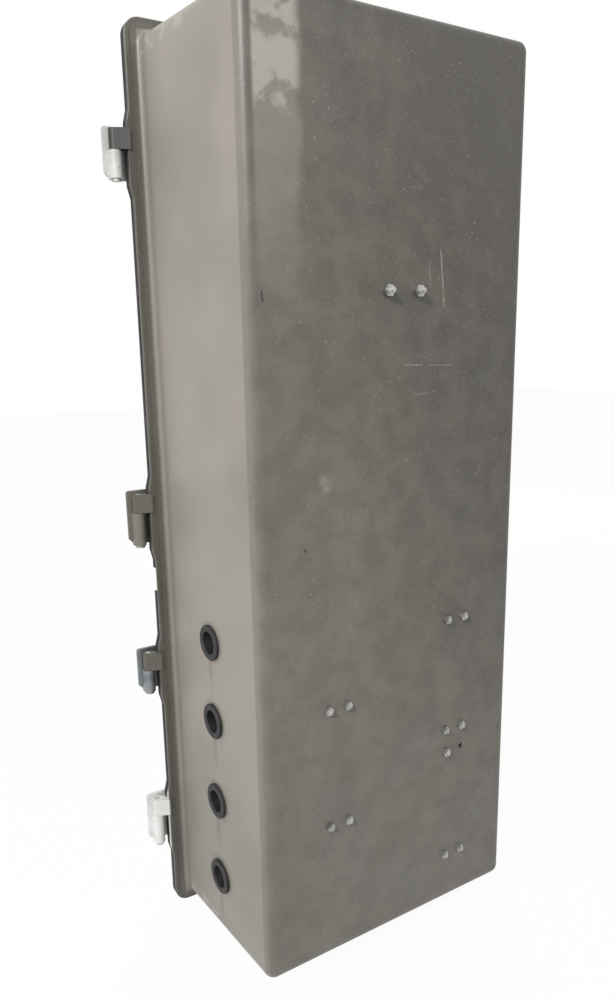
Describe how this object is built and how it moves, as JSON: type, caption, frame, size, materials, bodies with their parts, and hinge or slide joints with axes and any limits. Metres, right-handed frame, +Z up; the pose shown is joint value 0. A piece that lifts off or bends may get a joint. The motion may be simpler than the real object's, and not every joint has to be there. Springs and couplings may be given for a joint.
{
  "type": "electrical distribution box",
  "caption": "Moulded wall or pole mounted distribution box with two side-hinged doors, busbars above, circuit breakers below and rubber cable entries in its side.",
  "frame": {"origin": "midway between the two hanging studs, on the outer faces of their nuts, where a bracket bears", "axes": "+X to the right seen from the front, +Y to the rear, out of the back panel, +Z up"},
  "size_m": [0.385, 0.2303, 0.952],
  "materials": {
    "body": "semi-gloss grey paint on moulded plastic",
    "gasket": "matt",
    "grommet": "matt",
    "hinge_metal": "worn pale paint",
    "zinc": "zinc plated",
    "lock": "satin plated",
    "copper": "bare copper",
    "support": "moulded resin",
    "breaker": "moulded case",
    "toggle": "satin"
  },
  "bodies": {
    "box": {"tub": "body", "divider": "body", "upper_gasket": "gasket", "lower_gasket": "gasket", "hinge_pins": "zinc", "cable_grommet_1": "grommet", "cable_grommet_2": "grommet", "cable_grommet_3": "grommet", "cable_grommet_4": "grommet", "lock_keeper_1": "zinc", "lock_keeper_2": "zinc", "lock_keeper_3": "zinc", "keeper_rivets": "zinc", "hanging_studs": "zinc", "hanging_nuts": "zinc", "plate_spacers": "zinc", "mounting_plate": "zinc", "busbar_support_lower": "support", "busbar_support_upper": "support", "support_screws": "zinc", "busbar_phase_1": "copper", "busbar_phase_2": "copper", "busbar_phase_3": "copper", "busbar_neutral": "copper", "busbar_screws": "zinc", "busbar_bolts": "zinc", "busbar_nuts": "zinc", "incoming_breaker": "breaker", "outgoing_breaker_upper": "breaker", "outgoing_breaker_lower": "breaker", "breaker_screws": "zinc", "breaker_nuts": "zinc", "terminal_screws": "zinc"},
    "upper_door": {"upper_door": "body", "upper_hinge_leaf_top": "hinge_metal", "upper_hinge_leaf_bottom": "hinge_metal", "upper_leaf_screws": "zinc", "lock_body_1": "lock", "lock_nut_1": "zinc", "lock_body_2": "lock", "lock_nut_2": "zinc"},
    "lower_door": {"lower_door": "body", "lower_hinge_leaf_top": "hinge_metal", "lower_hinge_leaf_bottom": "hinge_metal", "lower_leaf_screws": "zinc", "lock_body_3": "lock", "lock_nut_3": "zinc"},
    "lock_cam_1": {"lock_core_1": "lock", "lock_cam_1": "zinc"},
    "lock_cam_2": {"lock_core_2": "lock", "lock_cam_2": "zinc"},
    "lock_cam_3": {"lock_core_3": "lock", "lock_cam_3": "zinc"},
    "incoming_breaker_toggle": {"incoming_breaker_toggle": "toggle"},
    "outgoing_breaker_upper_toggle": {"outgoing_breaker_upper_toggle": "toggle"},
    "outgoing_breaker_lower_toggle": {"outgoing_breaker_lower_toggle": "toggle"}
  },
  "joints": [
    {"name": "upper_door_swing", "type": "hinge", "parent": "box", "child": "upper_door", "pos_m": [0.1975, -0.201, 0], "axis": [0, 0, 1], "range_deg": [0, 115]},
    {"name": "lower_door_swing", "type": "hinge", "parent": "box", "child": "lower_door", "pos_m": [0.1975, -0.201, -0.5], "axis": [0, 0, 1], "range_deg": [0, 115]},
    {"name": "lock_turn_1", "type": "hinge", "parent": "upper_door", "child": "lock_cam_1", "pos_m": [-0.1225, -0.2, 0.1325], "axis": [0, 1, 0], "range_deg": [0, 90]},
    {"name": "lock_turn_2", "type": "hinge", "parent": "upper_door", "child": "lock_cam_2", "pos_m": [-0.1225, -0.2, -0.1475], "axis": [0, 1, 0], "range_deg": [0, 90]},
    {"name": "lock_turn_3", "type": "hinge", "parent": "lower_door", "child": "lock_cam_3", "pos_m": [-0.1225, -0.2, -0.5025], "axis": [0, 1, 0], "range_deg": [0, 90]},
    {"name": "incoming_breaker_switch", "type": "hinge", "parent": "box", "child": "incoming_breaker_toggle", "pos_m": [0.0755, -0.068, -0.4545], "axis": [-1, 0, 0], "range_deg": [0, 40]},
    {"name": "outgoing_breaker_upper_switch", "type": "hinge", "parent": "box", "child": "outgoing_breaker_upper_toggle", "pos_m": [-0.0715, -0.068, -0.3925], "axis": [-1, 0, 0], "range_deg": [0, 40]},
    {"name": "outgoing_breaker_lower_switch", "type": "hinge", "parent": "box", "child": "outgoing_breaker_lower_toggle", "pos_m": [-0.0735, -0.068, -0.5445], "axis": [-1, 0, 0], "range_deg": [0, 40]}
  ]
}
